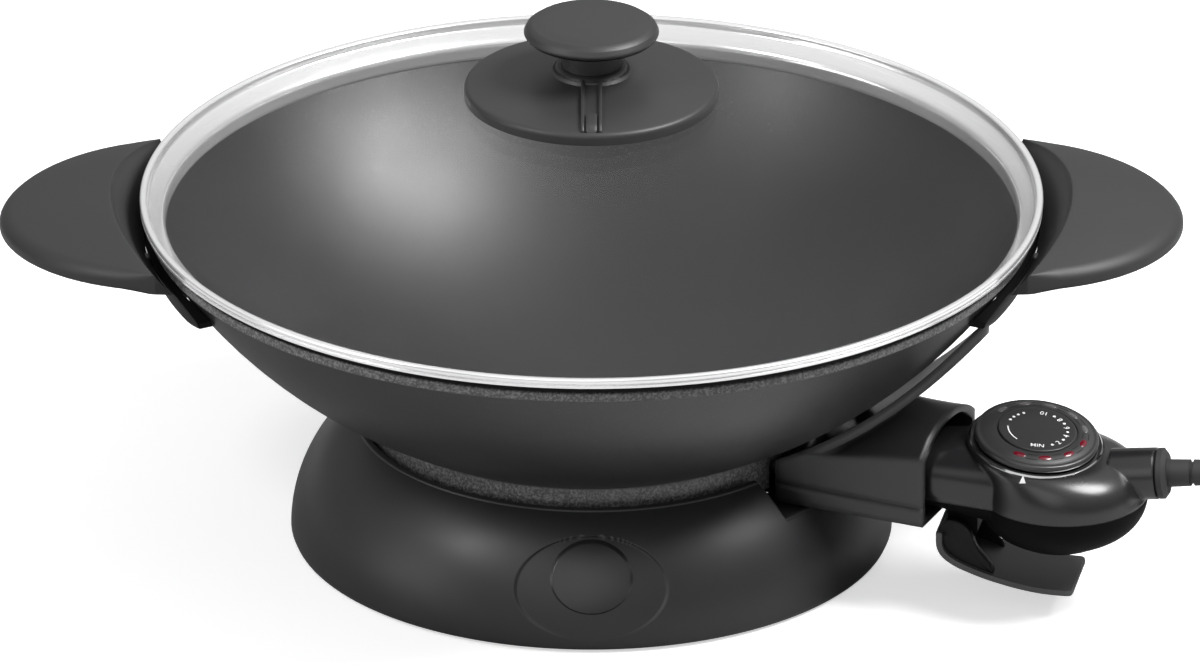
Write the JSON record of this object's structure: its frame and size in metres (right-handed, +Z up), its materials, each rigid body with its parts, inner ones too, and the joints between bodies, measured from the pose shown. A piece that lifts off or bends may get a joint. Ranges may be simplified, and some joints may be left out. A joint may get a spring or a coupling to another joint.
{
  "type": "electric wok",
  "caption": "Cast electric wok on a flared base, with a lift-off domed glass lid, paddle handles and a plug-in thermostat probe with a dial, squeeze lever and mains cord.",
  "frame": {"origin": "on the table, on the bowl's vertical axis, under the middle of the base", "axes": "+Z up along the bowl's axis; X along the two carrying handles, +X towards the probe's side; -Y towards the badge at the front"},
  "size_m": [0.6115, 0.36, 0.222],
  "materials": {
    "bowl_cast": "cast, dark non-stick coating",
    "base_plastic": "satin, finely textured",
    "badge": "satin, bare",
    "handle_plastic": "soft matte",
    "guard_plastic": "semi-matte",
    "probe_plastic": "semi-gloss",
    "lever_plastic": "matte",
    "dial_plastic": "satin",
    "window_red": "clear red",
    "steel_polished": "polished",
    "steel_plain": "plain",
    "clear_glass": "clear, tempered",
    "rubber_black": "matte",
    "cord_jacket": "satin",
    "plug_body": "satin",
    "contact_brass": "plated",
    "insulator": "unglazed"
  },
  "bodies": {
    "base": {"base_shell": "base_plastic", "badge_disc": "badge", "base_feet": "rubber_black", "base_cover": "base_plastic", "cover_screws": "steel_plain"},
    "base_lock": {"lock_hook": "dial_plastic", "lock_knob": "dial_plastic"},
    "wok": {"wok_bowl": "bowl_cast", "heating_element": "steel_plain", "terminal_pins": "steel_plain", "terminal_beads": "insulator", "terminal_plate": "steel_plain", "lock_catch": "steel_plain", "catch_screws": "steel_plain", "probe_guard_upper": "guard_plastic", "probe_guard_lower": "guard_plastic", "guard_screws": "steel_plain", "left_handle": "handle_plastic", "right_handle": "handle_plastic", "handle_screws": "steel_plain"},
    "lid": {"lid_glass": "clear_glass", "lid_rim": "steel_polished", "knob_neck": "handle_plastic", "knob_base": "handle_plastic", "lid_knob": "handle_plastic", "knob_washer": "rubber_black", "knob_screw": "steel_plain"},
    "vent": {"vent_disc": "handle_plastic", "vent_shutter": "handle_plastic"},
    "probe": {"probe_shell_upper": "probe_plastic", "probe_shell_lower": "probe_plastic", "probe_screws": "steel_plain", "probe_nose": "insulator", "contact_sockets": "contact_brass", "sensor_rod": "steel_plain", "thermostat_switch": "plug_body", "indicator_lamp": "window_red", "dial_trim": "steel_polished", "lever_pin": "steel_plain", "cord_bushing": "rubber_black", "strain_relief": "rubber_black", "mains_cord": "cord_jacket", "cord_coil": "cord_jacket", "cord_tie": "plug_body", "cord_tail": "cord_jacket", "mains_plug": "plug_body", "plug_pins": "contact_brass"},
    "dial": {"dial_knob": "dial_plastic", "dial_cap": "dial_plastic", "dial_windows": "window_red", "dial_shaft": "dial_plastic"},
    "lever": {"release_lever": "lever_plastic", "lever_spring": "steel_plain"}
  },
  "joints": [
    {"name": "wok_lift", "type": "slide", "parent": "base", "child": "wok", "axis": [0, 0, 1], "range_m": [0, 0.08]},
    {"name": "lid_lift", "type": "slide", "parent": "wok", "child": "lid", "axis": [0, 0, 1], "range_m": [0, 0.12]},
    {"name": "vent_turn", "type": "hinge", "parent": "lid", "child": "vent", "pos_m": [0, 0, 0.195], "axis": [0, 0, 1], "range_deg": [-22.5, 22.5]},
    {"name": "probe_plug", "type": "slide", "parent": "wok", "child": "probe", "axis": [0.9164, -0.4003, 0], "range_m": [0, 0.08]},
    {"name": "dial_turn", "type": "hinge", "parent": "probe", "child": "dial", "pos_m": [0.17644, -0.06849, 0.0686], "axis": [0.0957, -0.1531, 0.9836], "range_deg": [0, 270]},
    {"name": "lever_squeeze", "type": "hinge", "parent": "probe", "child": "lever", "pos_m": [0.14793, -0.06316, 0.034], "axis": [-0.184, -0.9829, 0], "range_deg": [0, 10], "stiffness_Nm_per_rad": 0.25, "springref_deg": -8.59},
    {"name": "base_lock", "type": "hinge", "parent": "base", "child": "base_lock", "pos_m": [0, 0, 0.015], "axis": [0, 0, 1], "range_deg": [0, 90]}
  ]
}
